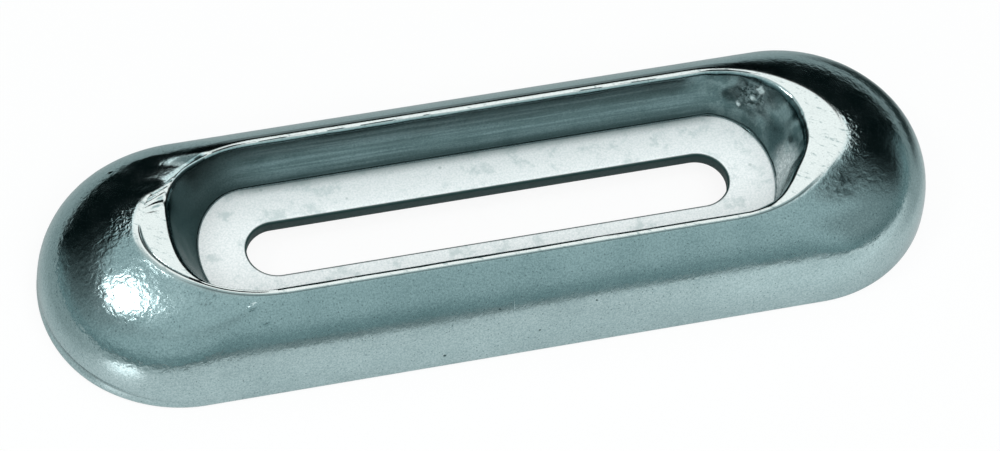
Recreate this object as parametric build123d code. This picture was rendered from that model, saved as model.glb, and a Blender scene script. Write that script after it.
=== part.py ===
from build123d import *

import os
from math import asin, sin, sqrt

# Bolt-on hull anode: a zinc casting, poured round a slotted steel mounting plate.
# Millimetres. X runs along the anode, Y across it and Z away from the hull.
# The origin is in the hull face, at the middle of the anode.

# Casting
LENGTH = 200.0
WIDTH = 62.0
HEIGHT = 23.0
ROUNDING_REACH = 28.0   # the dome's sides are upright at the hull face and would close this high
DOME_SECTIONS = 9       # outlines that the dome is lofted through
HULL_EDGE_RADIUS = 0.6

# Land, the flat top that runs round the pocket: narrow at the sides, a crescent at each end
LAND_LENGTH = 157.4
LAND_WIDTH = 39.6
LAND_STRAIGHT = 96.0    # length of its straight sides
LAND_EDGE_RADIUS = 0.3
END_EASE = 1.4          # above 1, the dome's ends lean in later than its sides do
STRAIGHT_EASE = 2.2     # above 1, the dome's straight sides shorten late, near the land

# Pocket in the top, open down to the plate
POCKET_STRAIGHT = 104.0  # length of its straight sides, at the mouth and at the floor
MOUTH_LENGTH = 141.4
MOUTH_WIDTH = 36.6
FLOOR_LENGTH = 129.8
FLOOR_WIDTH = 32.8
RIM_RADIUS = 0.8

# Recess in the hull face, below the plate, which has the pocket floor's outline at the plate
RECESS_FLARE = 1.2      # how much longer and wider it is in the hull face

# Mounting plate
PLATE_THICKNESS = 3.0
PLATE_TOP = 8.7         # height of its upper face above the hull face
PLATE_GRIP = 3.6        # width of its rim that is held in the zinc
PLATE_CORNER = 14.0
SLOT_LENGTH = 108.4
SLOT_WIDTH = 13.2
SLOT_EDGE_RADIUS = 0.35  # edge rolled over by the punch, on the upper face

PLATE_BOTTOM = PLATE_TOP - PLATE_THICKNESS


def oval(straight, length, width, height):
    """Level face with two straight sides and two half-elliptical ends."""
    x, y = straight / 2, width / 2
    end_reach = (length - straight) / 2
    outline = [
        Line((-x, -y), (x, -y)),
        EllipticalCenterArc((x, 0), end_reach, y, -90, arc_size=180),
        Line((x, y), (-x, y)),
        EllipticalCenterArc((-x, 0), end_reach, y, 90, arc_size=180),
    ]
    return Plane.XY.offset(height) * make_face(outline)


def rounding(height):
    """How far the dome has turned in at a height, from 0 at the hull face to 1 at the land."""
    inset = 1 - sqrt(1 - (height / ROUNDING_REACH) ** 2)
    return inset / (1 - sqrt(1 - (HEIGHT / ROUNDING_REACH) ** 2))


def dome_outline(height):
    """The dome's outline, whose ends go from half circles at the hull to long ellipses at the land."""
    turn = rounding(height)
    hull_straight = LENGTH - WIDTH
    straight = hull_straight - (hull_straight - LAND_STRAIGHT) * turn**STRAIGHT_EASE
    length = LENGTH - (LENGTH - LAND_LENGTH) * turn**END_EASE
    width = WIDTH - (WIDTH - LAND_WIDTH) * turn
    return oval(straight, length, width, height)


def dome():
    """Rounded block with a flat top, before any hollow is made in it."""
    top_angle = asin(HEIGHT / ROUNDING_REACH)
    angles = [top_angle * i / (DOME_SECTIONS - 1) for i in range(DOME_SECTIONS)]
    block = loft([dome_outline(ROUNDING_REACH * sin(angle)) for angle in angles])
    block = fillet(block.faces().sort_by(Axis.Z)[0].edges(), HULL_EDGE_RADIUS)
    return fillet(block.faces().sort_by(Axis.Z)[-1].edges(), LAND_EDGE_RADIUS)


def pocket():
    """Space above the plate, with walls that lean outwards to the mouth."""
    floor = oval(POCKET_STRAIGHT, FLOOR_LENGTH, FLOOR_WIDTH, PLATE_TOP)
    mouth = oval(POCKET_STRAIGHT, MOUTH_LENGTH, MOUTH_WIDTH, HEIGHT)
    return loft([floor, mouth], ruled=True)


def recess():
    """Space between the plate and the hull, with walls that lean outwards to the hull."""
    opening = oval(POCKET_STRAIGHT, FLOOR_LENGTH + RECESS_FLARE, FLOOR_WIDTH + RECESS_FLARE, 0)
    roof = oval(POCKET_STRAIGHT, FLOOR_LENGTH, FLOOR_WIDTH, PLATE_BOTTOM)
    return loft([opening, roof], ruled=True)


def plate_blank():
    """Flat strip with rounded corners, larger than the pocket's floor all round."""
    length = FLOOR_LENGTH + 2 * PLATE_GRIP
    width = FLOOR_WIDTH + 2 * PLATE_GRIP
    outline = RectangleRounded(length, width, PLATE_CORNER)
    return extrude(Plane.XY.offset(PLATE_BOTTOM) * outline, PLATE_THICKNESS)


def anode_body():
    """Zinc casting, one piece, closed round the plate's rim."""
    body = dome() - pocket()
    land = body.faces().filter_by(GeomType.PLANE).sort_by(Axis.Z)[-1]
    body = fillet(land.inner_wires()[0].edges(), RIM_RADIUS)
    return body - recess() - plate_blank()


def mounting_plate():
    """Steel strip with one long slot for the hull studs."""
    slot = Plane.XY.offset(PLATE_BOTTOM) * SlotOverall(SLOT_LENGTH, SLOT_WIDTH)
    plate = plate_blank() - extrude(slot, PLATE_THICKNESS)
    upper_face = plate.faces().sort_by(Axis.Z)[-1]
    return fillet(upper_face.inner_wires()[0].edges(), SLOT_EDGE_RADIUS)


os.makedirs("parts", exist_ok=True)
export_step(anode_body(), "parts/anode_body.step")
export_step(mounting_plate(), "parts/mounting_plate.step")
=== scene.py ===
from math import asin, cos, pi, radians, sin, sqrt

import bmesh
import bpy
import numpy as np
from mathutils import Matrix, Vector


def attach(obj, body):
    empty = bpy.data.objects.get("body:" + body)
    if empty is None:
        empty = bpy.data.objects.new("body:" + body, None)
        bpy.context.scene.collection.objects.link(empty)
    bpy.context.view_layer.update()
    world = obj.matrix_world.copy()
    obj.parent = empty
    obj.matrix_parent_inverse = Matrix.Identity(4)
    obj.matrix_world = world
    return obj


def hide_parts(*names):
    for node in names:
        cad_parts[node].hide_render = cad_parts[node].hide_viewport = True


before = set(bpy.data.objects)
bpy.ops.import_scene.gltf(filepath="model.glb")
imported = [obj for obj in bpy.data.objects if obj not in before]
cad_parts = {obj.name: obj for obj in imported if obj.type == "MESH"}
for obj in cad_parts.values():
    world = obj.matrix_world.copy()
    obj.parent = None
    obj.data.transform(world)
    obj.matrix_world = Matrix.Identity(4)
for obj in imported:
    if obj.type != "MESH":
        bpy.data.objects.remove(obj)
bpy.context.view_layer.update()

# Bolt-on hull anode: a bare zinc casting, poured round a slotted galvanised steel plate.
# Sizes are in millimetres and turned into metres when a mesh is made. X runs along the anode,
# Y across it and Z away from the hull, from the hull face at the middle of the anode.

MM = 0.001

# Casting, as it leaves the mould
LENGTH = 200.0
WIDTH = 62.0
HEIGHT = 23.0
ROUNDING_REACH = 28.0   # height at which the dome would close, if the land didn't cut it off
HULL_EDGE_RADIUS = 0.6
LAND_LENGTH = 157.4
LAND_WIDTH = 39.6
LAND_STRAIGHT = 96.0    # straight part of the land's long sides
END_EASE = 1.4          # how late the dome draws in to the land's length
STRAIGHT_EASE = 2.2     # and to the land's straight sides

# Pocket, recess in the hull face, and the steel plate between them
POCKET_STRAIGHT = 104.0
MOUTH_LENGTH = 141.4
MOUTH_WIDTH = 36.6
FLOOR_LENGTH = 129.8
FLOOR_WIDTH = 32.8
RECESS_FLARE = 1.2      # how much wider the recess is at the hull than under the plate
PLATE_THICKNESS = 3.0
PLATE_TOP = 8.7         # height of its upper face above the hull
PLATE_GRIP = 3.6        # how far the zinc holds its rim
PLATE_CORNER = 14.0
PLATE_BOTTOM = PLATE_TOP - PLATE_THICKNESS
SLOT_LENGTH = 108.4
SLOT_WIDTH = 13.2
SLOT_ROLL = 0.6         # rounding that the shears left on the slot's upper edge

# How finely the two pieces are divided
SIDE_POINTS = 170       # along each straight side
END_POINTS = 190        # round each end
EDGE_RINGS = 4          # over each rounded edge
HULL_RINGS = 8
DOME_RINGS = 72
LAND_RINGS = 8
WALL_RINGS = 18
RECESS_RINGS = 4
PLATE_TOP_RINGS = 24
PLATE_RIM_RINGS = 3
PLATE_BOTTOM_RINGS = 10
SLOT_EDGE_RINGS = 4


def ring(straight, length, width, height):
    """Closed outline with straight sides and half-elliptical ends: near side, right end, far side, left end."""
    x, y, reach = straight / 2, width / 2, (length - straight) / 2
    side = np.arange(SIDE_POINTS) / SIDE_POINTS
    turn = np.arange(END_POINTS) / END_POINTS * pi
    along = np.concatenate([x * (2 * side - 1), x + reach * np.sin(turn),
                            x * (1 - 2 * side), -x - reach * np.sin(turn)])
    across = np.concatenate([np.full(SIDE_POINTS, -y), -y * np.cos(turn),
                             np.full(SIDE_POINTS, y), y * np.cos(turn)])
    return np.stack([along, across, np.full(len(along), float(height))], 1)


def dome_ring(height):
    """The dome's outline, whose ends go from half circles at the hull to long ellipses at the land."""
    inset = 1 - sqrt(1 - (height / ROUNDING_REACH) ** 2)
    turn = inset / (1 - sqrt(1 - (HEIGHT / ROUNDING_REACH) ** 2))
    hull_straight = LENGTH - WIDTH
    return ring(hull_straight - (hull_straight - LAND_STRAIGHT) * turn**STRAIGHT_EASE,
                LENGTH - (LENGTH - LAND_LENGTH) * turn**END_EASE,
                WIDTH - (WIDTH - LAND_WIDTH) * turn, height)


def slot_ring(length, width, height):
    """Closed outline of the slot, with round ends."""
    return ring(length - width, length, width, height)


def blank_ring(height):
    """Outline of the plate's blank: a rectangle with round corners, in step with the other outlines."""
    x, y = FLOOR_LENGTH / 2 + PLATE_GRIP, FLOOR_WIDTH / 2 + PLATE_GRIP
    turn = np.arange(END_POINTS) / END_POINTS * pi
    corner = np.clip(turn * 1.5, 0, pi / 2) + np.clip(turn * 1.5 - pi, 0, pi / 2)
    middle = np.clip(turn * 1.5 - pi / 2, 0, pi / 2) / (pi / 2)
    out = x - PLATE_CORNER + PLATE_CORNER * np.sin(corner)
    over = (y - PLATE_CORNER) * (2 * middle - 1) - PLATE_CORNER * np.cos(corner)
    outline = ring(2 * (x - PLATE_CORNER), 2 * x, 2 * y, height)
    outline[SIDE_POINTS:SIDE_POINTS + END_POINTS, :2] = np.stack([out, over], 1)
    outline[-END_POINTS:, :2] = np.stack([-out, -over], 1)
    return outline


def between(first, last, count):
    """Rings evenly spaced from first up to, but not including, last."""
    return [first + (last - first) * i / count for i in range(count)]


def rounded(before, corner, after, count):
    """Rings round a corner, from before up to, but not including, after."""
    shares = [i / count for i in range(count)]
    return [before * (1 - t) ** 2 + corner * 2 * t * (1 - t) + after * t * t for t in shares]


# ---------------------------------------------------------------- casting

# How far the pocket's mouth and the land's outer edge stray at their corners: a push is outwards, a pull inwards
MOUTH_PULL_NEAR_RIGHT = -1.9
MOUTH_PUSH_FAR_RIGHT = 0.9
MOUTH_PUSH_LEFT = 1.5
LAND_PULL_NEAR_RIGHT = -1.3
LAND_PULL_FAR_RIGHT = -0.5
LAND_PULL_NEAR_LEFT = -0.8
CORNERS = (0.3, 0.7)    # where in an end's turn its two corners are
CORNER_WIDTH = 0.16     # and how much of the turn each of them takes

# What pouring and freezing left on the casting
RIM_REACH = 0.75        # how far the rounded rim reaches over the land, along the near side
FAR_RIM_REACH = 0.65    # and along the far side
END_RIM_REACH = 0.15    # and how much further it reaches at the ends
RIM_DROP = 1.6          # how far down the wall it goes, in reaches
WAVER = 0.09            # how far the rim wanders from its line
CRISP_EDGE = 0.1        # how far in the rounding of the land's outer edge goes, where the edge is sharp
SOFT_EDGE = 0.5         # and where it is soft
CREASE = 0.08           # depth of the crease under the sharp edge
LAND_SLUMP = 1.35       # how far the far left corner of the land fell as the metal froze
DOME_FULLNESS = 0.5     # how much fuller the dome is below the right end of the land
FOOT_GAP = 0.35         # shrinkage gap where the wall meets the plate
FOOT_BEVEL = 0.1
FLASH = 0.45            # squeezed-out lip low on the left end, with a crease above it
LAP_LIP = 0.08          # raised edge of the cold lap at the near left corner of the land
LAP_SEAM = 0.60         # depth of the seam inside that edge
SEAM_INSETS = (0.52, 0.60, 0.72, 0.82)  # the seam's lip, its two bottom corners and its other lip, in from the edge
CRINKLE = 0.30          # height of the wrinkles where the lap begins
CRINKLE_LENGTH = 2.1    # and the distance from one to the next
DOME_SHARE = 0.985      # how much of its rounding the dome takes before the land's edge begins
WALL_MARGIN = 2.0       # how far outside the pocket's mouth the wall may stray and still be wall


def round_ends(right, left):
    """Values along an outline that are 0 on the straights and follow right and left round the ends."""
    turn = (np.arange(END_POINTS) + 0.5) / END_POINTS
    straight = np.zeros(SIDE_POINTS)
    return np.concatenate([straight, right(turn), straight, left(turn)])


def level(turn):
    """No change anywhere round an end."""
    return 0 * turn


def smooth_step(low, high, value):
    """Smooth rise from 0 at low to 1 at high, or a fall where high is below low."""
    t = np.clip((value - low) / (high - low), 0, 1)
    return t * t * (3 - 2 * t)


def bell(value, centre, width):
    """Smooth hump, 1 at the centre and fading away over the width."""
    return np.exp(-(((value - centre) / width) ** 2))


def corner_drift(near_right, far_right, far_left, near_left):
    """How far an outline strays outwards at each point, from its stray at the four corners."""
    def drift(*strays):
        def at(turn):
            humps = [stray * bell(turn, corner, CORNER_WIDTH) for stray, corner in zip(strays, CORNERS)]
            return (humps[0] + humps[1]) * smooth_step(0.0, 0.25, turn) * smooth_step(1.0, 0.75, turn)
        return at
    return round_ends(drift(near_right, far_right), drift(far_left, near_left))


def waver(seed):
    """Slow uneven wandering along an outline, from -1 to 1."""
    random = np.random.default_rng(seed)
    place = np.arange(2 * (SIDE_POINTS + END_POINTS)) / (2 * (SIDE_POINTS + END_POINTS)) * 2 * pi
    waves = [np.sin(count * place + random.uniform(0, 2 * pi)) for count in (3, 7, 11, 17, 26, 39)]
    return sum(waves) / 3


def lifted(outline, rise):
    """The outline moved up by the rise, in mm at each point."""
    moved = outline.copy()
    moved[:, 2] += rise
    return moved


def strayed(outline, drift):
    """The outline moved sideways by the drift, in mm along its own outward direction."""
    run = np.roll(outline, -1, 0) - np.roll(outline, 1, 0)
    run /= np.linalg.norm(run, axis=1, keepdims=True)
    out = np.stack([run[:, 1], -run[:, 0], np.zeros(len(run))], 1)
    return outline + out * drift[:, None]


def lap_share():
    """Where round the land the cold lap runs, from 0 to 1: the near corner of its left end."""
    return round_ends(level, lambda turn: smooth_step(0.43, 0.60, turn) - smooth_step(0.86, 0.96, turn))


def crinkle_share():
    """Where round the land the lap's skin is wrinkled, from 0 to 1: the middle of its left end."""
    return round_ends(level, lambda turn: smooth_step(0.25, 0.28, turn) - smooth_step(0.37, 0.44, turn))


def flash_share():
    """Where round the hull edge the flash stands out, from 0 to 1: the near corner of the left end."""
    return round_ends(level, lambda turn: bell(turn, 0.72, 0.16))


def land_slump():
    """How far the land fell as it froze, in mm: most at the far corner of its left end."""
    return LAND_SLUMP * round_ends(level, lambda turn: smooth_step(0.12, 0.19, turn) - smooth_step(0.25, 0.34, turn))


def near_edge_share(outline):
    """Where the land's outer edge is sharp, from 0 to 1: along the near side."""
    return smooth_step(-10, -16, outline[:, 1]) * smooth_step(82, 66, np.abs(outline[:, 0]))


# Where the crease under the land's edge, the lap's seam and the flash's crease are in the section, counted in rings
CREASE_ROW = HULL_RINGS + EDGE_RINGS + DOME_RINGS
SEAM_ROW = CREASE_ROW + EDGE_RINGS + 1
FLASH_ROW = HULL_RINGS + EDGE_RINGS + 5


def dome_outlines(land_drift):
    """The dome's outlines from the hull edge up, with the flash, the full right end, the slump and the lap's lip."""
    first_angle, top_angle = asin(HULL_EDGE_RADIUS / ROUNDING_REACH), asin(HEIGHT / ROUNDING_REACH)
    heights = ROUNDING_REACH * np.sin(np.linspace(first_angle, top_angle * DOME_SHARE, DOME_RINGS))
    fullness = DOME_FULLNESS * round_ends(lambda turn: bell(turn, 0.44, 0.12), level)
    outlines = []
    for height in heights:
        share = height / HEIGHT
        flash_reach = FLASH * (bell(height, 0.9, 0.7) - 0.8 * bell(height, 2.6, 0.6))
        outline = strayed(dome_ring(height), land_drift * share**4 + flash_share() * flash_reach)
        rise = -land_slump() * share**10 + fullness * share**8 * (1 - share**8) * 4
        outlines.append(lifted(outline, rise + LAP_LIP * lap_share() * smooth_step(0.98, 0.99, share)))
    return outlines


def wrinkled(outlines, edge):
    """The land's outlines with the lap's wrinkles, which are spaced along the land's outer edge."""
    run = np.cumsum(np.linalg.norm(np.roll(edge, -1, 0) - edge, axis=1))
    raised = []
    for share, outline in zip(np.linspace(0, 1, len(outlines)), outlines):
        phase = 2 * pi * run / CRINKLE_LENGTH + 2.5 * share + 1.5 * np.sin(0.6 * run + 3 * share)
        strength = 0.6 + 0.4 * np.sin(0.9 * run + 5 * share)
        raised.append(lifted(outline, CRINKLE * crinkle_share() * strength * np.sin(phase)))
    return raised


def casting_rings():
    """The casting's closed section, as outlines: hull face, dome, land, pocket wall, plate seat, recess."""
    mouth_drift = corner_drift(MOUTH_PULL_NEAR_RIGHT, MOUTH_PUSH_FAR_RIGHT, MOUTH_PUSH_LEFT, MOUTH_PUSH_LEFT)
    land_drift = corner_drift(LAND_PULL_NEAR_RIGHT, LAND_PULL_FAR_RIGHT, 0, LAND_PULL_NEAR_LEFT)
    slump, lap = land_slump(), lap_share()
    dome = dome_outlines(land_drift)
    hull_inner = ring(POCKET_STRAIGHT, FLOOR_LENGTH + RECESS_FLARE, FLOOR_WIDTH + RECESS_FLARE, 0)
    hull_corner = ring(LENGTH - WIDTH, LENGTH, WIDTH, 0)
    hull_outer = ring(LENGTH - WIDTH, LENGTH - 2 * HULL_EDGE_RADIUS, WIDTH - 2 * HULL_EDGE_RADIUS, 0)

    def land_ring(inset, rise=0.0):
        outline = ring(LAND_STRAIGHT, LAND_LENGTH - 2 * inset, LAND_WIDTH - 2 * inset, HEIGHT)
        return lifted(strayed(outline, land_drift), rise - slump)

    land_corner = land_ring(0, LAP_LIP * lap)
    seam = [land_ring(inset, drop) for inset, drop in zip(SEAM_INSETS, (0, -LAP_SEAM * lap, -LAP_SEAM * lap, 0))]
    swell = lambda turn: np.sin(pi * turn) ** 0.5
    further = END_RIM_REACH * round_ends(swell, swell)
    far = smooth_step(-12, 12, land_corner[:, 1])
    rim_reach = RIM_REACH + (FAR_RIM_REACH - RIM_REACH) * far + further + WAVER * waver(4)
    mouth = ring(POCKET_STRAIGHT, MOUTH_LENGTH, MOUTH_WIDTH, HEIGHT)
    land_inner = lifted(strayed(mouth, mouth_drift + rim_reach), -0.25 * slump)
    mouth = lifted(strayed(mouth, mouth_drift + 0.5 * WAVER * waver(7)), -0.1 * slump)
    foot = ring(POCKET_STRAIGHT, FLOOR_LENGTH, FLOOR_WIDTH, PLATE_TOP + FOOT_GAP + FOOT_BEVEL)
    wall_top = mouth + (foot - mouth) * (RIM_DROP * rim_reach / (HEIGHT - PLATE_TOP))[:, None]
    roof = ring(POCKET_STRAIGHT, FLOOR_LENGTH, FLOOR_WIDTH, PLATE_BOTTOM)

    rings = between(hull_inner, hull_outer, HULL_RINGS)
    rings += rounded(hull_outer, hull_corner, dome[0], EDGE_RINGS)
    rings += dome[:-1]
    crisp = near_edge_share(land_corner)[:, None]
    rings.append(dome[-1] + (dome[-2] - dome[-1]) * 0.1)
    crisp_dome = lifted(dome[-1] + (land_corner - dome[-1]) * 0.5 * crisp, -CREASE * crisp[:, 0])
    crisp_land, soft_land = land_ring(CRISP_EDGE, LAP_LIP * lap), land_ring(SOFT_EDGE, LAP_LIP * lap)
    rings += rounded(crisp_dome, land_corner, soft_land + (crisp_land - soft_land) * crisp, EDGE_RINGS)
    rings += seam[:-1]
    rings += wrinkled(between(seam[-1], land_inner, LAND_RINGS), land_corner)
    rings += rounded(land_inner, mouth, wall_top, EDGE_RINGS)
    rings += between(wall_top, foot, WALL_RINGS)
    gap = ring(POCKET_STRAIGHT, FLOOR_LENGTH + 2 * FOOT_GAP, FLOOR_WIDTH + 2 * FOOT_GAP, PLATE_TOP + FOOT_GAP / 2)
    ledge = ring(POCKET_STRAIGHT, FLOOR_LENGTH - 2 * FOOT_GAP, FLOOR_WIDTH - 2 * FOOT_GAP, PLATE_TOP + FOOT_GAP)
    rings += [foot, ledge, gap, blank_ring(PLATE_TOP), blank_ring(PLATE_BOTTOM)]
    rings += between(roof, hull_inner, RECESS_RINGS)
    return rings


def closed_mesh(name, rings):
    """Mesh whose skin joins each ring to the next, and the last to the first, facing outwards."""
    count, around = len(rings), len(rings[0])
    points = np.concatenate(rings) * MM
    row, col = np.meshgrid(np.arange(count), np.arange(around), indexing="ij")
    up, on = (row + 1) % count, (col + 1) % around
    quads = np.stack([row * around + col, row * around + on, up * around + on, up * around + col], 2)
    mesh = bpy.data.meshes.new(name)
    mesh.from_pydata(points.tolist(), [], quads.reshape(-1, 4).tolist())
    shape = bmesh.new()
    shape.from_mesh(mesh)
    if shape.calc_volume(signed=True) < 0:
        bmesh.ops.reverse_faces(shape, faces=shape.faces[:])
    shape.to_mesh(mesh)
    shape.free()
    mesh.shade_smooth()
    return mesh


def read_points(mesh, what="co"):
    """Places, or other vectors, of all the mesh's points, one row each."""
    values = np.empty(len(mesh.vertices) * 3)
    mesh.vertices.foreach_get(what, values)
    return values.reshape(-1, 3)


def write_mask(mesh, name, values):
    """Vertex mask from 0 to 1, which the skin's relief and the material read."""
    mesh.attributes.new(name, "FLOAT", "POINT").data.foreach_set("value", values.astype(np.float32))


# Beads of metal that froze on the skin: the middle, then the radius and how far each stands out
NODULES = {"nodule": ((-58.0, -21.3, 21.7), 0.85, 0.55), "small_nodule": ((-55.5, -23.9, 19.2), 0.5, 0.3),
           "far_speck": ((-80.5, 20.9, 17.2), 0.5, 0.25), "left_speck": ((-77.4, 14.7, 21.1), 0.5, 0.25)}


def with_nodules(mesh):
    """The mesh, swollen at each nodule."""
    co, facing = read_points(mesh), read_points(mesh, "normal")
    for middle, radius, height in NODULES.values():
        inside = np.clip(1 - (np.linalg.norm(co / MM - middle, axis=1) / radius) ** 2, 0, 1)
        co += facing * (height * MM * np.sqrt(inside) * smooth_step(0, 0.3, inside))[:, None]
    mesh.vertices.foreach_set("co", co.ravel())
    return mesh


def casting_mesh():
    """The bare form of the casting, with the masks that say where each kind of skin is."""
    rings = casting_rings()
    mesh = closed_mesh("anode_casting", rings)
    x, y, z = (read_points(mesh) / MM).T
    end = smooth_step(58, 80, np.abs(x))
    top = smooth_step(HEIGHT - 0.30, HEIGHT - 0.06, z)
    past_straight = np.clip(np.abs(x) - POCKET_STRAIGHT / 2, 0, None)
    oval = (past_straight / (MOUTH_LENGTH / 2 - POCKET_STRAIGHT / 2 + WALL_MARGIN)) ** 2
    oval += (y / (MOUTH_WIDTH / 2 + WALL_MARGIN)) ** 2
    wall = (oval < 1) & (z > PLATE_TOP + FOOT_GAP + 0.06) & (z < HEIGHT - 0.35)
    outer = smooth_step(0.8, 3.0, z) * (1 - top) * (1 - wall)
    quiet = smooth_step(55, 75, x) * smooth_step(10, -10, y)
    write_mask(mesh, "pebbled", outer * (0.25 + 0.75 * end) * (1 - 0.55 * quiet))
    write_mask(mesh, "pocket_wall", wall.astype(float))
    write_mask(mesh, "lumpy", wall * (0.12 + 0.88 * smooth_step(46, 58, x) + 0.2 * smooth_step(50, 60, -x)))
    write_mask(mesh, "land", top * (1 - wall))
    seam = np.zeros((len(rings), len(rings[0])))
    seam[SEAM_ROW:SEAM_ROW + 2] = lap_share()
    # painted shade: the crease under the land's outer edge, a band of the dome below the land's far edge and the crease
    # above the flash are darkened as well as the lap's seam
    near_edge = near_edge_share(rings[CREASE_ROW])
    far_edge = smooth_step(8, 16, rings[CREASE_ROW][:, 1]) * smooth_step(74, 62, np.abs(rings[CREASE_ROW][:, 0]))
    seam[CREASE_ROW] = 0.75 * np.maximum(near_edge, far_edge)
    seam[CREASE_ROW - 4:CREASE_ROW] = 0.6 * far_edge
    seam[FLASH_ROW] = 0.5 * flash_share()
    write_mask(mesh, "seam", seam.ravel())
    return with_nodules(mesh)


# ---------------------------------------------------------------- node helpers

def add(tree, kind, inputs=None, **settings):
    """A node in the tree, with its settings, and its inputs joined to a socket or set to a value."""
    made = tree.nodes.new(kind)
    for name, value in settings.items():
        setattr(made, name, value)
    for name, value in (inputs or {}).items():
        if isinstance(value, bpy.types.NodeSocket):
            tree.links.new(value, made.inputs[name])
        else:
            made.inputs[name].default_value = value
    return made


def calc(tree, operation, first, second=0.5):
    """Result of one Math node."""
    return add(tree, "ShaderNodeMath", {0: first, 1: second}, operation=operation).outputs[0]


def chain(operation):
    """Maker of Math nodes that join two or more values, one after another."""
    def joined(tree, first, *others):
        for other in others:
            first = calc(tree, operation, first, other)
        return first
    return joined


total, product, most = chain("ADD"), chain("MULTIPLY"), chain("MAXIMUM")


def vector(tree, operation, first, second):
    """Result of one Vector Math node."""
    made = add(tree, "ShaderNodeVectorMath", {0: first, 1: second}, operation=operation)
    return made.outputs["Value" if operation in ("DISTANCE", "DOT_PRODUCT") else "Vector"]


def turned(tree, place, degrees):
    """The place turned about the upright axis."""
    return add(tree, "ShaderNodeVectorRotate", {"Vector": place, "Angle": radians(degrees)},
               rotation_type="Z_AXIS").outputs[0]


def near(tree, place, x, y, z, inner, outer):
    """1 within the inner distance of a point, fading to 0 at the outer one, all in mm."""
    apart = vector(tree, "DISTANCE", place, (x * MM, y * MM, z * MM))
    return spread(tree, apart, inner * MM, outer * MM, 1.0, 0.0)


def spread(tree, value, low, high, to_low=0.0, to_high=1.0, smooth=True):
    """The value's part between low and high, spread from to_low to to_high."""
    made = add(tree, "ShaderNodeMapRange", {0: value, 1: low, 2: high, 3: to_low, 4: to_high})
    made.interpolation_type = "SMOOTHSTEP" if smooth else "LINEAR"
    return made.outputs[0]


def tint(tree, share, first, second, blend="MIX"):
    """Colour between two, by a share from 0 to 1."""
    made = tree.nodes.new("ShaderNodeMix")
    made.data_type, made.blend_type = "RGBA", blend
    for socket, value in ((made.inputs[0], share), (made.inputs[6], first), (made.inputs[7], second)):
        if isinstance(value, bpy.types.NodeSocket):
            tree.links.new(value, socket)
        else:
            socket.default_value = value
    return made.outputs[2]


def noise(tree, where, size_mm, detail=2.0, roughness=0.5, distortion=0.0):
    """Noise from 0 to 1, whose lumps are about size_mm across."""
    made = add(tree, "ShaderNodeTexNoise", {"Vector": where, "Scale": 1 / (size_mm * MM), "Detail": detail,
                                           "Roughness": roughness, "Distortion": distortion})
    return made.outputs[0]


def socket_of(tree, name, kind, where="INPUT", default=None):
    """Adds an input or output to a node group."""
    made = tree.interface.new_socket(name, in_out=where, socket_type=kind)
    if default is not None:
        made.default_value = default
    return made


# ---------------------------------------------------------------- casting skin, by Geometry Nodes

def casting_skin_tree():
    """Moves each point of the casting in or out: the mould's slow waves, and pebbling where the metal froze fast."""
    tree = bpy.data.node_groups.new("casting_skin", "GeometryNodeTree")
    socket_of(tree, "Geometry", "NodeSocketGeometry")
    for name, value in (("Wave Size", 0.022), ("Wave Height", 0.0002), ("Pebble Size", 0.0032),
                        ("Pebble Height", 0.0001), ("Wall Lump Size", 0.009), ("Wall Lump Height", 0.0003)):
        socket_of(tree, name, "NodeSocketFloat", default=value)
    socket_of(tree, "Seed", "NodeSocketInt", default=1)
    socket_of(tree, "Material", "NodeSocketMaterial")
    socket_of(tree, "Geometry", "NodeSocketGeometry", "OUTPUT")
    given = tree.nodes.new("NodeGroupInput")
    place = add(tree, "GeometryNodeInputPosition").outputs[0]
    shifted = vector(tree, "ADD", place, given.outputs["Seed"])

    def lumps(size, height, where, detail):
        scale = calc(tree, "DIVIDE", 1.0, given.outputs[size])
        pattern = add(tree, "ShaderNodeTexNoise", {"Vector": shifted, "Scale": scale, "Detail": detail}).outputs[0]
        share = add(tree, "GeometryNodeInputNamedAttribute", {"Name": where}).outputs[0]
        return product(tree, calc(tree, "SUBTRACT", pattern, 0.5), given.outputs[height], 2.0, share)

    rise = total(tree, lumps("Pebble Size", "Pebble Height", "pebbled", 2.0),
                 lumps("Wall Lump Size", "Wall Lump Height", "lumpy", 1.0),
                 lumps("Wave Size", "Wave Height", "pebbled", 0.0))
    facing = add(tree, "GeometryNodeInputNormal").outputs[0]
    offset = add(tree, "ShaderNodeVectorMath", {0: facing, "Scale": rise}, operation="SCALE").outputs[0]
    moved = add(tree, "GeometryNodeSetPosition", {"Geometry": given.outputs["Geometry"], "Offset": offset})
    whole = add(tree, "GeometryNodeRealizeInstances", {0: moved.outputs[0]})
    coated = add(tree, "GeometryNodeSetMaterial", {"Geometry": whole.outputs[0], "Material": given.outputs["Material"]})
    add(tree, "NodeGroupOutput", {"Geometry": coated.outputs[0]})
    return tree


def set_input(modifier, name, value):
    """Sets a modifier's named input by the identifier of its socket."""
    for item in modifier.node_group.interface.items_tree:
        if item.item_type == "SOCKET" and item.in_out == "INPUT" and item.name == name:
            modifier[item.identifier] = value


def baked(name, mesh, tree, inputs):
    """Object whose mesh is the tree's result on the given mesh, with no modifier left."""
    raw = bpy.data.objects.new(name + "_raw", mesh)
    bpy.context.scene.collection.objects.link(raw)
    modifier = raw.modifiers.new("skin", "NODES")
    modifier.node_group = tree
    for key, value in inputs.items():
        set_input(modifier, key, value)
    raw.data.update()
    ready = raw.evaluated_get(bpy.context.evaluated_depsgraph_get())
    result = bpy.data.meshes.new_from_object(ready)
    result.name = name
    bpy.data.objects.remove(raw)
    piece = bpy.data.objects.new(name, result)
    bpy.context.scene.collection.objects.link(piece)
    return piece


# ---------------------------------------------------------------- materials

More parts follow.
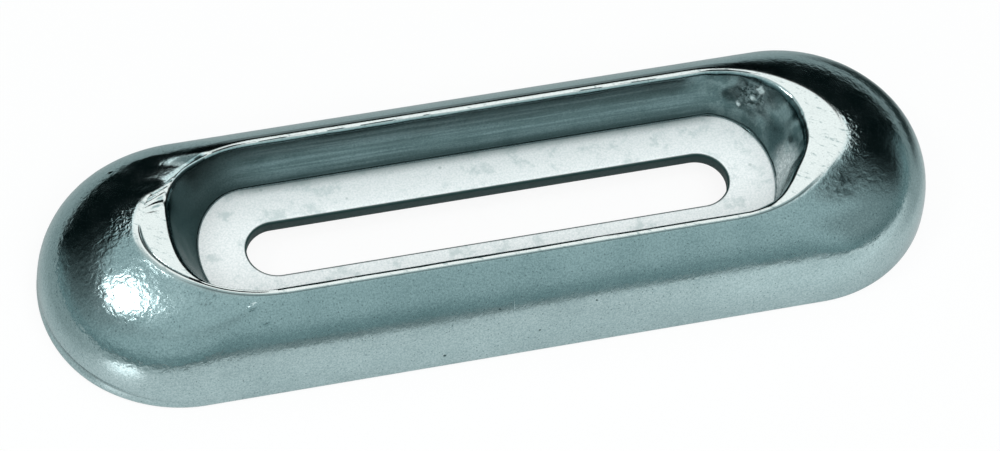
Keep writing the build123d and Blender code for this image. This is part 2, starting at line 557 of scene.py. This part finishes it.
# Height of the zinc's fine relief and the steel's, in mm
END_PEBBLES = 0.065     # orange peel where the metal froze fast
SIDE_PEBBLES = 0.006    # and what all of the skin has
COARSE_PEBBLES = 0.24   # coarser peel on the shoulders, beyond the ends of the land
LEFT_SHOULDER = 0.7     # how much of it the left shoulder has
JOINT_LINE = 0.03       # ridge left by the joint of the mould, low on the near side
ZINC_GRAIN = 0.009
ZINC_PITS = 0.006
STEEL_GRAIN = 0.012

GLOW_SHARE = 0.9        # how much of the floor's light is its own where the camera sees it, or in the mirrored pool
POOL_GLOW = 2.2         # how bright the pool of light at its left is in the metal


def material(name):
    """New empty material, and its node tree."""
    made = bpy.data.materials.new(name)
    made.use_nodes = True
    made.node_tree.nodes.clear()
    return made, made.node_tree


def speckle_group():
    """Shared effect: fine grain and small dark pits in a bare metal skin."""
    tree = bpy.data.node_groups.new("metal_speckle", "ShaderNodeTree")
    socket_of(tree, "Vector", "NodeSocketVector")
    socket_of(tree, "Grain Scale", "NodeSocketFloat", default=2500.0)
    socket_of(tree, "Pit Scale", "NodeSocketFloat", default=900.0)
    socket_of(tree, "Pit Share", "NodeSocketFloat", default=0.2)
    socket_of(tree, "Grain", "NodeSocketFloat", "OUTPUT")
    socket_of(tree, "Pits", "NodeSocketFloat", "OUTPUT")
    given = tree.nodes.new("NodeGroupInput")
    grain = add(tree, "ShaderNodeTexNoise", {"Vector": given.outputs["Vector"], "Scale": given.outputs["Grain Scale"],
                                            "Detail": 2.0, "Roughness": 0.6}).outputs[0]
    cells = add(tree, "ShaderNodeTexVoronoi", {"Vector": given.outputs["Vector"], "Scale": given.outputs["Pit Scale"]})
    chosen = calc(tree, "LESS_THAN", add(tree, "ShaderNodeSeparateColor", {0: cells.outputs["Color"]}).outputs[0],
                  given.outputs["Pit Share"])
    in_pit = spread(tree, cells.outputs["Distance"], 0.10, 0.28, 1.0, 0.0)
    add(tree, "NodeGroupOutput", {"Grain": grain, "Pits": product(tree, chosen, in_pit)})
    return tree


def speckles(tree, speckle, place, grain_scale, pit_scale, pit_share):
    """Grain and pits of the shared effect, at one metal's own settings."""
    made = add(tree, "ShaderNodeGroup", {"Vector": place, "Grain Scale": grain_scale, "Pit Scale": pit_scale,
                                        "Pit Share": pit_share}, node_tree=speckle)
    return made.outputs["Grain"], made.outputs["Pits"]


def mask(tree, name):
    """The mesh's mask of that name, as a share from 0 to 1."""
    return add(tree, "ShaderNodeAttribute", attribute_name=name).outputs["Fac"]


def relief(tree, height):
    """Surface direction for a height in mm."""
    return add(tree, "ShaderNodeBump", {"Strength": 1.0, "Distance": MM, "Height": height}).outputs[0]


def ragged(tree, place):
    """The place shaken a millimetre or so, which gives a patch drawn by it a ragged edge."""
    shaken = add(tree, "ShaderNodeTexNoise", {"Vector": place, "Scale": 700.0, "Detail": 2.0}).outputs["Color"]
    moved = add(tree, "ShaderNodeVectorMath", {0: shaken, 1: (1.8 * MM, 1.8 * MM, 2.4 * MM), 2: place},
                operation="MULTIPLY_ADD").outputs[0]
    return vector(tree, "SUBTRACT", moved, (0.9 * MM, 0.9 * MM, 1.2 * MM))


def wall_tones_and_light(tree, place):
    """Colour of the pocket's wall, and the shares of it that are painted glints and dulled matt, both at its right end.

    The wall is dark and streaky, darkest at its left end and paler in blotches at its right end, where it has painted
    highlights; painted shade darkens the far wall towards its foot.
    """
    along, across, above = add(tree, "ShaderNodeSeparateXYZ", {0: place}).outputs
    torn = ragged(tree, place)
    dark, streak, darkest = (0.14, 0.21, 0.215, 1), (0.22, 0.31, 0.32, 1), (0.045, 0.070, 0.071, 1)
    dark_blotch, pale_blotch, dark_patch = (0.12, 0.19, 0.195, 1), (0.24, 0.33, 0.335, 1), (0.06, 0.105, 0.11, 1)
    # the first and third colours here are painted highlights, and the last is painted shade for the foot of the far
    # wall
    sheen_white, matt, glint_white, foot = (1.0, 1.0, 1.0, 1), (0.40, 0.52, 0.53, 1), (0.84, 0.95, 0.95, 1), (0.02, 0.04, 0.04, 1)
    streaks = noise(tree, vector(tree, "MULTIPLY", place, (0.03, 0.3, 1)), 1.1, 2.0, 0.6)
    wall_tone_and_light = tint(tree, spread(tree, streaks, 0.40, 0.62), dark, streak)
    wall_tone_and_light = tint(tree, spread(tree, along, -0.060, -0.045), darkest, wall_tone_and_light)

    # painted highlights: near-white glints high in the far corner of the right end
    painted_glints = most(tree, near(tree, torn, 64.0, 13.05, 20.1, 0.5, 1.7), near(tree, torn, 62.4, 13.5, 17.3, 0.2, 1.2),
                   near(tree, torn, 60.1, 14.4, 14.4, 0.2, 1.0))
    broken = spread(tree, noise(tree, place, 0.8, 3.0, 0.7), 0.36, 0.58)
    # painted highlight: a white sheen low on the right end wall, a little to the near side
    painted_sheen = product(tree, near(tree, torn, 66.4, -5.0, 12.9, 2.5, 9.0), most(tree, broken, 0.6))
    dulled = product(tree, near(tree, torn, 62.6, 13.4, 17.6, 1.0, 7.0), broken)
    blotches = spread(tree, noise(tree, place, 3.0, 3.0, 0.6), 0.42, 0.62)
    right_end_and_glints = tint(tree, blotches, dark_blotch, pale_blotch)
    right_end_and_glints = tint(tree, near(tree, place, 66.7, 5.2, 13.6, 1.5, 5.5), right_end_and_glints, dark_patch)
    right_end_and_glints = tint(tree, painted_sheen, right_end_and_glints, sheen_white)
    right_end_and_glints = tint(tree, dulled, right_end_and_glints, matt)
    right_end_and_glints = tint(tree, painted_glints, right_end_and_glints, glint_white)
    wall_tone_and_light = tint(tree, spread(tree, along, 0.046, 0.058), wall_tone_and_light, right_end_and_glints)

    # painted shade: the far wall darkens towards its foot, where it meets the plate
    low = spread(tree, above, (PLATE_TOP + 0.5) * MM, (PLATE_TOP + 6.0) * MM, 0.62, 0.0)
    wall_tone_and_light = tint(tree, product(tree, low, spread(tree, across, 0.0, 0.012)), wall_tone_and_light, foot)
    return wall_tone_and_light, painted_glints, dulled


def land_scrapes(tree, place):
    """Colour of the land, rubbed bright in slanting scratches."""
    scratched = vector(tree, "MULTIPLY", turned(tree, place, 35), (0.45, 1, 1))
    worn = spread(tree, noise(tree, scratched, 1.1, 3.0, 0.65), 0.55, 0.72)
    bright, scratch = (0.68, 0.72, 0.71, 1), (0.32, 0.39, 0.39, 1)
    return tint(tree, worn, bright, scratch)


def smudges(tree, place):
    """Share of dark smudges on two corners of the land, and of small spots on the near side."""
    smeared = most(tree, near(tree, place, -66.8, -18.0, 22.2, 0.6, 3.0),
                   near(tree, place, 74.0, -14.5, 22.3, 1.0, 6.0))
    smeared = product(tree, smeared, spread(tree, noise(tree, place, 1.4, 3.0, 0.6), 0.48, 0.62, 0.0, 0.7))
    spots = ((-17.0, -30.7, 4.1, 0.5), (-4.7, -27.4, 14.2, 0.3), (16.8, -28.2, 12.6, 0.3), (4.1, -30.1, 7.2, 0.35))
    return most(tree, smeared, *(near(tree, place, x, y, z, 0.4 * size, size) for x, y, z, size in spots))


def zinc_relief(tree, place, pebbled, grain, pits):
    """Height of the zinc's fine relief, in mm."""
    pebbles = noise(tree, place, 1.3, 1.0, 0.45, 0.5)
    shoulders = most(tree, near(tree, place, 79.5, -2.5, 21.6, 3.0, 9.5),
                     product(tree, near(tree, place, -80.0, 4.0, 21.8, 1.0, 7.5), LEFT_SHOULDER))
    coarse = product(tree, noise(tree, place, 1.0, 2.0, 0.55, 0.6), product(tree, shoulders, pebbled))
    along, across, _ = add(tree, "ShaderNodeSeparateXYZ", {0: place}).outputs
    from_joint = calc(tree, "ABSOLUTE", total(tree, along, 1.55 * MM))
    joint = product(tree, spread(tree, from_joint, 0.05 * MM, 0.22 * MM, 1.0, 0.0),
                    spread(tree, across, -0.024, -0.022, 1.0, 0.0))
    height = product(tree, pebbles, total(tree, product(tree, pebbled, END_PEBBLES), SIDE_PEBBLES))
    height = total(tree, height, product(tree, coarse, COARSE_PEBBLES), product(tree, joint, JOINT_LINE),
                   product(tree, grain, ZINC_GRAIN))
    return calc(tree, "SUBTRACT", height, product(tree, pits, ZINC_PITS))


def zinc_material(speckle):
    """Bare cast zinc: satin, pebbled at the ends, darker and rougher in the pocket, bright on the land."""
    made, tree = material("cast_zinc")
    place = add(tree, "ShaderNodeTexCoord").outputs["Object"]
    pebbled, wall, land, seam = (mask(tree, name) for name in ("pebbled", "pocket_wall", "land", "seam"))
    grain, pits = speckles(tree, speckle, place, 2600.0, 1300.0, 0.36)
    wall_tone_and_light, painted_glints, dulled = wall_tones_and_light(tree, place)

    clean, dull, grained = (0.57, 0.69, 0.70, 1), (0.50, 0.62, 0.63, 1), (0.55, 0.61, 0.62, 1)
    pitted, seam_and_crease_shade, dirt = (0.08, 0.14, 0.15, 1), (0.01, 0.02, 0.02, 1), (0.05, 0.09, 0.095, 1)
    colour = tint(tree, spread(tree, noise(tree, place, 14.0, 3.0, 0.6), 0.3, 0.7), clean, dull)
    colour = tint(tree, product(tree, wall, 0.97), colour, wall_tone_and_light)
    colour = tint(tree, product(tree, land, 0.8), colour, land_scrapes(tree, place))
    in_pit = product(tree, pits, spread(tree, land, 0.0, 1.0, 0.58, 0.15))
    colour = tint(tree, in_pit, colour, pitted)
    in_grain = product(tree, spread(tree, grain, 0.35, 0.65, 0.0, 0.70, False), spread(tree, land, 0.0, 1.0, 1.0, 0.25))
    colour = tint(tree, in_grain, colour, grained, "MULTIPLY")
    # dark lap seam, with painted shade in the creases along the land's edges and above the flash
    colour = tint(tree, seam, colour, seam_and_crease_shade)
    colour = tint(tree, smudges(tree, place), colour, dirt)

    roughness = spread(tree, noise(tree, place, 5.0, 3.0), 0.3, 0.7, 0.13, 0.19)
    roughness = total(tree, roughness, product(tree, wall, 0.05))
    # the painted glints and the dulled patch go matt
    matt_share = most(tree, painted_glints, product(tree, dulled, wall, 0.55))
    edge_tint = tint(tree, wall, (1, 1, 1, 1), (0.50, 0.56, 0.56, 1))
    height = zinc_relief(tree, place, pebbled, grain, pits)
    metal = add(tree, "ShaderNodeBsdfPrincipled", {"Base Color": colour, "Roughness": roughness,
                                                  "Metallic": spread(tree, matt_share, 0.0, 1.0, 1.0, 0.3),
                                                  "Specular Tint": edge_tint, "Normal": relief(tree, height)})
    add(tree, "ShaderNodeOutputMaterial", {"Surface": metal.outputs[0]})
    return made


def galvanised_material(speckle):
    """Hot-dip galvanised steel: pale and matt, with faint grey blotches and fine grain, dark on the slot's sheared edge
    as bare steel and painted shade, and with painted shade along the foot of the far wall.
    """
    made, tree = material("galvanised_steel")
    place = add(tree, "ShaderNodeTexCoord").outputs["Object"]
    grain, pits = speckles(tree, speckle, place, 2200.0, 500.0, 0.06)
    pale, blotched, pitted = (0.97, 0.98, 0.98, 1), (0.58, 0.66, 0.66, 1), (0.25, 0.32, 0.32, 1)
    grained, bare_edge_and_shade, shade = (0.60, 0.67, 0.67, 1), (0.018, 0.050, 0.048, 1), (0.16, 0.22, 0.22, 1)
    blotches = spread(tree, noise(tree, place, 5.0, 5.0, 0.7), 0.50, 0.66)
    colour = tint(tree, product(tree, blotches, 0.75), pale, blotched)
    colour = tint(tree, product(tree, pits, 0.5), colour, pitted)
    colour = tint(tree, spread(tree, grain, 0.35, 0.65, 0.0, 0.45, False), colour, grained)
    # the slot's walls and rolled edge: darkened as bare sheared steel, and as painted shade
    colour = tint(tree, mask(tree, "sheared"), colour, bare_edge_and_shade)
    colour = tint(tree, mask(tree, "shaded"), colour, shade)
    metal = add(tree, "ShaderNodeBsdfPrincipled", {"Base Color": colour, "Metallic": 0.2,
                                                  "Roughness": spread(tree, grain, 0.3, 0.7, 0.42, 0.55),
                                                  "Normal": relief(tree, product(tree, grain, STEEL_GRAIN))})
    add(tree, "ShaderNodeOutputMaterial", {"Surface": metal.outputs[0]})
    return made


def floor_material():
    """White floor: the camera sees it as plain white round the shadow, and the metal mirrors it in uneven greys:
    painted shade behind, beside and far ahead of the casting, a painted shadow off its far right, a painted lit patch
    in front of its right half and a painted pool of light off its near left corner.
    """
    made, tree = material("studio_floor")
    ray = add(tree, "ShaderNodeLightPath").outputs
    place = add(tree, "ShaderNodeTexCoord").outputs["Object"]
    along, across, _ = add(tree, "ShaderNodeSeparateXYZ", {0: place}).outputs
    plain, grey, lit = (0.70, 0.70, 0.70, 1), (0.40, 0.44, 0.44, 1), (0.84, 0.84, 0.84, 1)
    end_grey, front_grey, shadow = (0.34, 0.38, 0.38, 1), (0.22, 0.25, 0.25, 1), (0.02, 0.03, 0.03, 1)

    beside = spread(tree, along, -0.13, -0.09, 0.8, 0.0)
    mirrored = tint(tree, most(tree, spread(tree, across, -0.02, 0.05), beside), plain, grey)
    in_light = product(tree, spread(tree, along, 0.02, 0.08), spread(tree, across, -0.05, -0.03, 1.0, 0.0))
    mirrored = tint(tree, in_light, mirrored, lit)
    ends = product(tree, most(tree, spread(tree, along, 0.10, 0.12, 0.0, 0.8), beside),
                   spread(tree, across, -0.04, -0.01))
    mirrored = tint(tree, ends, mirrored, end_grey)
    ahead = total(tree, across, spread(tree, along, 0.0, 0.07, 0.0, 0.08))
    mirrored = tint(tree, spread(tree, ahead, -0.16, -0.115, 1.0, 0.0), mirrored, front_grey)
    mirrored = tint(tree, near(tree, place, 135, 48, 0, 25, 50), mirrored, shadow)
    colour = tint(tree, ray["Is Glossy Ray"], (0.88, 0.88, 0.88, 1), mirrored)
    paint = add(tree, "ShaderNodeBsdfDiffuse", {"Color": colour})

    pool_place = turned(tree, vector(tree, "SUBTRACT", place, (-0.112, -0.049, 0)), -48)
    pool_place = vector(tree, "MULTIPLY", pool_place, (0.65, 1.3, 1))
    pool = product(tree, near(tree, pool_place, 0, 0, 0, 2, 27), GLOW_SHARE, ray["Is Glossy Ray"])
    strength = spread(tree, pool, 0.0, GLOW_SHARE, 1.0, POOL_GLOW)
    glow = add(tree, "ShaderNodeEmission", {"Color": (1, 1, 1, 1), "Strength": strength})
    glowing = most(tree, product(tree, ray["Is Camera Ray"], GLOW_SHARE), pool)
    both = add(tree, "ShaderNodeMixShader", {0: glowing, 1: paint.outputs[0], 2: glow.outputs[0]})
    add(tree, "ShaderNodeOutputMaterial", {"Surface": both.outputs[0]})
    return made


# ---------------------------------------------------------------- plate

SHEAR_MARGIN = 0.5      # how far past the slot's edge the dark sheared face, bare steel under painted shade, may show
FOOT_SHADE = 0.85       # strength of the shade along the foot of the far wall


def plate_rings():
    """The plate's closed section, as outlines: upper face from the slot to the rim, then the lower face back."""
    mouth = slot_ring(SLOT_LENGTH, SLOT_WIDTH, PLATE_TOP)
    back = slot_ring(SLOT_LENGTH + 2 * SLOT_ROLL, SLOT_WIDTH + 2 * SLOT_ROLL, PLATE_TOP)
    down = slot_ring(SLOT_LENGTH, SLOT_WIDTH, PLATE_TOP - SLOT_ROLL)
    under = slot_ring(SLOT_LENGTH, SLOT_WIDTH, PLATE_BOTTOM)
    rim_top, rim_bottom = blank_ring(PLATE_TOP), blank_ring(PLATE_BOTTOM)
    rings = rounded(down, mouth, back, EDGE_RINGS) + between(back, rim_top, PLATE_TOP_RINGS)
    rings += between(rim_top, rim_bottom, PLATE_RIM_RINGS) + between(rim_bottom, under, PLATE_BOTTOM_RINGS)
    return rings + between(under, down, SLOT_EDGE_RINGS)


def plate_mesh():
    """The plate, with the masks for its sheared slot edge, darkened as bare steel and painted shade, and for the
    painted shade along the foot of the far wall.
    """
    mesh = closed_mesh("slotted_plate", plate_rings())
    x, y, z = (read_points(mesh) / MM).T
    in_slot = np.abs(y) < SLOT_WIDTH / 2 + SHEAR_MARGIN
    write_mask(mesh, "sheared", in_slot * (1 - smooth_step(PLATE_TOP - 0.034, PLATE_TOP - 0.001, z)))
    far_foot = smooth_step(12.6, 16.6, y) ** 2 * smooth_step(64, 48, np.abs(x))
    write_mask(mesh, "shaded", FOOT_SHADE * far_foot * (z > PLATE_TOP - 0.1))
    return mesh


# ---------------------------------------------------------------- studio

# The camera's turns are in radians, its distance in mm, and its slides in pixels of the rendered width
YAW, PITCH, ROLL = 0.356, 0.9979, -0.1411
CAMERA_DISTANCE = 1000.0
PIXELS_PER_MM = 4.5296
SLIDE_RIGHT, SLIDE_UP = -13.392, 9.684
IMAGE_WIDTH = 1000
SENSOR = 36.0

# Room: its tones as the metal mirrors them, and the floor's half width and drop below the casting, in metres
LOW_WALL, MIDDLE_WALL, CEILING = (0.215, 0.32, 0.33, 1), (0.45, 0.57, 0.58, 1), (0.52, 0.64, 0.65, 1)
DARK_WALL, LIT_CEILING, WHITE = (0.002, 0.006, 0.006, 1), (1.30, 1.32, 1.31, 1), (1, 1, 1, 1)
FLOOR_HALF = 3.0
FLOOR_DROP = 0.0001


def studio_camera():
    """Camera above the near side, looking down and along the casting."""
    yaw = np.array([[cos(YAW), -sin(YAW), 0], [sin(YAW), cos(YAW), 0], [0, 0, 1]])
    pitch = np.array([[1, 0, 0], [0, sin(PITCH), cos(PITCH)], [0, cos(PITCH), -sin(PITCH)]])
    roll = np.array([[cos(ROLL), -sin(ROLL), 0], [sin(ROLL), cos(ROLL), 0], [0, 0, 1]])
    right, up, ahead = roll @ pitch @ yaw
    place = -CAMERA_DISTANCE * ahead - SLIDE_RIGHT / PIXELS_PER_MM * right + SLIDE_UP / PIXELS_PER_MM * up
    data = bpy.data.cameras.new("studio_camera")
    data.sensor_width = SENSOR
    data.lens = PIXELS_PER_MM * CAMERA_DISTANCE / IMAGE_WIDTH * SENSOR
    data.clip_start, data.clip_end = 0.01, 50
    camera = bpy.data.objects.new("studio_camera", data)
    pose = np.eye(4)
    pose[:3, :3] = np.stack([right, up, -ahead], 1)
    pose[:3, 3] = place * MM
    camera.matrix_world = Matrix(pose.tolist())
    bpy.context.scene.collection.objects.link(camera)
    bpy.context.scene.camera = camera


def heading(azimuth, elevation):
    """Direction from the object, by degrees round from +X and up from the floor."""
    a, e = radians(azimuth), radians(elevation)
    return Vector((cos(a) * cos(e), sin(a) * cos(e), sin(e)))


def softbox(name, azimuth, elevation, distance, width, height, power):
    """Soft rectangular lamp that faces the object, in metres and watts."""
    data = bpy.data.lights.new(name, "AREA")
    data.shape, data.size, data.size_y, data.energy = "RECTANGLE", width, height, power
    lamp = bpy.data.objects.new(name, data)
    way = heading(azimuth, elevation)
    lamp.location = way * distance
    lamp.rotation_euler = (-way).to_track_quat("-Z", "Y").to_euler()
    bpy.context.scene.collection.objects.link(lamp)
    return lamp


def studio_world():
    """Grey room with a dark far wall, as the metal mirrors it; plain white where the camera sees it."""
    world = bpy.data.worlds.new("studio_room")
    bpy.context.scene.world = world
    world.use_nodes = True
    tree = world.node_tree
    tree.nodes.clear()
    way = add(tree, "ShaderNodeTexCoord").outputs["Generated"]

    def towards(azimuth, elevation):
        return vector(tree, "DOT_PRODUCT", way, heading(azimuth, elevation))

    side, _, height = add(tree, "ShaderNodeSeparateXYZ", {0: way}).outputs
    room = tint(tree, spread(tree, height, 0.02, 0.40), LOW_WALL, MIDDLE_WALL)
    room = tint(tree, spread(tree, height, 0.40, 0.95), room, CEILING)

    right_edge = most(tree, spread(tree, towards(86, 0), -0.15, 0.15), spread(tree, side, -0.1, 0.1, 1.0, 0.0))
    left_fade = calc(tree, "POWER", spread(tree, towards(60, 0), -0.80, 0.35), 0.45)
    far = calc(tree, "MINIMUM", right_edge, left_fade)
    skirting = most(tree, spread(tree, side, 0.86, 0.97), spread(tree, side, -0.92, -0.70, 1.0, 0.0))
    skirting = product(tree, skirting, spread(tree, height, 0.02, 0.34, 1.0, 0.0))
    far = product(tree, far, calc(tree, "SUBTRACT", 1.0, skirting))
    raised = spread(tree, towards(5, 0), 0.40, 0.58, 0.0, 0.10)
    low = spread(tree, calc(tree, "SUBTRACT", height, raised), 0.66, 0.78, 1.0, 0.0)
    room = tint(tree, product(tree, far, low), room, DARK_WALL)
    dusk = spread(tree, towards(-27, 22), 0.86, 0.98, 0.0, 0.36)
    room = tint(tree, product(tree, dusk, spread(tree, height, -0.05, 0.05)), room, DARK_WALL)

    overhead = product(tree, spread(tree, towards(75, 65), 0.885, 0.93),
                       spread(tree, towards(180, 50), 0.76, 0.86, 1.0, 0.0))
    room = tint(tree, overhead, room, LIT_CEILING)
    seen = add(tree, "ShaderNodeLightPath").outputs["Is Camera Ray"]
    room = tint(tree, seen, room, WHITE)
    glow = add(tree, "ShaderNodeBackground", {"Color": room, "Strength": 1.0})
    add(tree, "ShaderNodeOutputWorld", {"Surface": glow.outputs[0]})


def studio_floor():
    """Square floor, which the casting stands on."""
    mesh = bpy.data.meshes.new("studio_floor")
    corners = [(x * FLOOR_HALF, y * FLOOR_HALF, 0) for x, y in ((-1, -1), (1, -1), (1, 1), (-1, 1))]
    mesh.from_pydata(corners, [], [(0, 1, 2, 3)])
    mesh.materials.append(floor_material())
    floor = bpy.data.objects.new("studio_floor", mesh)
    bpy.context.scene.collection.objects.link(floor)
    floor.location.z = -FLOOR_DROP


# ---------------------------------------------------------------- assembly

speckle = speckle_group()
zinc, galvanised = zinc_material(speckle), galvanised_material(speckle)

casting = baked("anode_casting", casting_mesh(), casting_skin_tree(),
                {"Wave Size": 0.022, "Wave Height": 0.0001, "Pebble Size": 0.003, "Pebble Height": 0.00004,
                 "Wall Lump Size": 0.006, "Wall Lump Height": 0.0004, "Seed": 3, "Material": zinc})
casting.data.shade_smooth()
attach(casting, "root")
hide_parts("anode_body")

plate = bpy.data.objects.new("slotted_plate", plate_mesh())
plate.data.materials.append(galvanised)
bpy.context.scene.collection.objects.link(plate)
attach(plate, "root")
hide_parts("mounting_plate")

studio_floor()
studio_world()
studio_camera()
softbox("left_softbox", azimuth=180, elevation=53, distance=1.2, width=0.30, height=0.28, power=2.1)
fill = softbox("matt_fill", azimuth=-80, elevation=65, distance=1.5, width=1.2, height=1.2, power=13)
fill.visible_glossy = False     # it lights the plate and the floor, and the zinc doesn't mirror it
bpy.context.scene.view_settings.view_transform = "Standard"
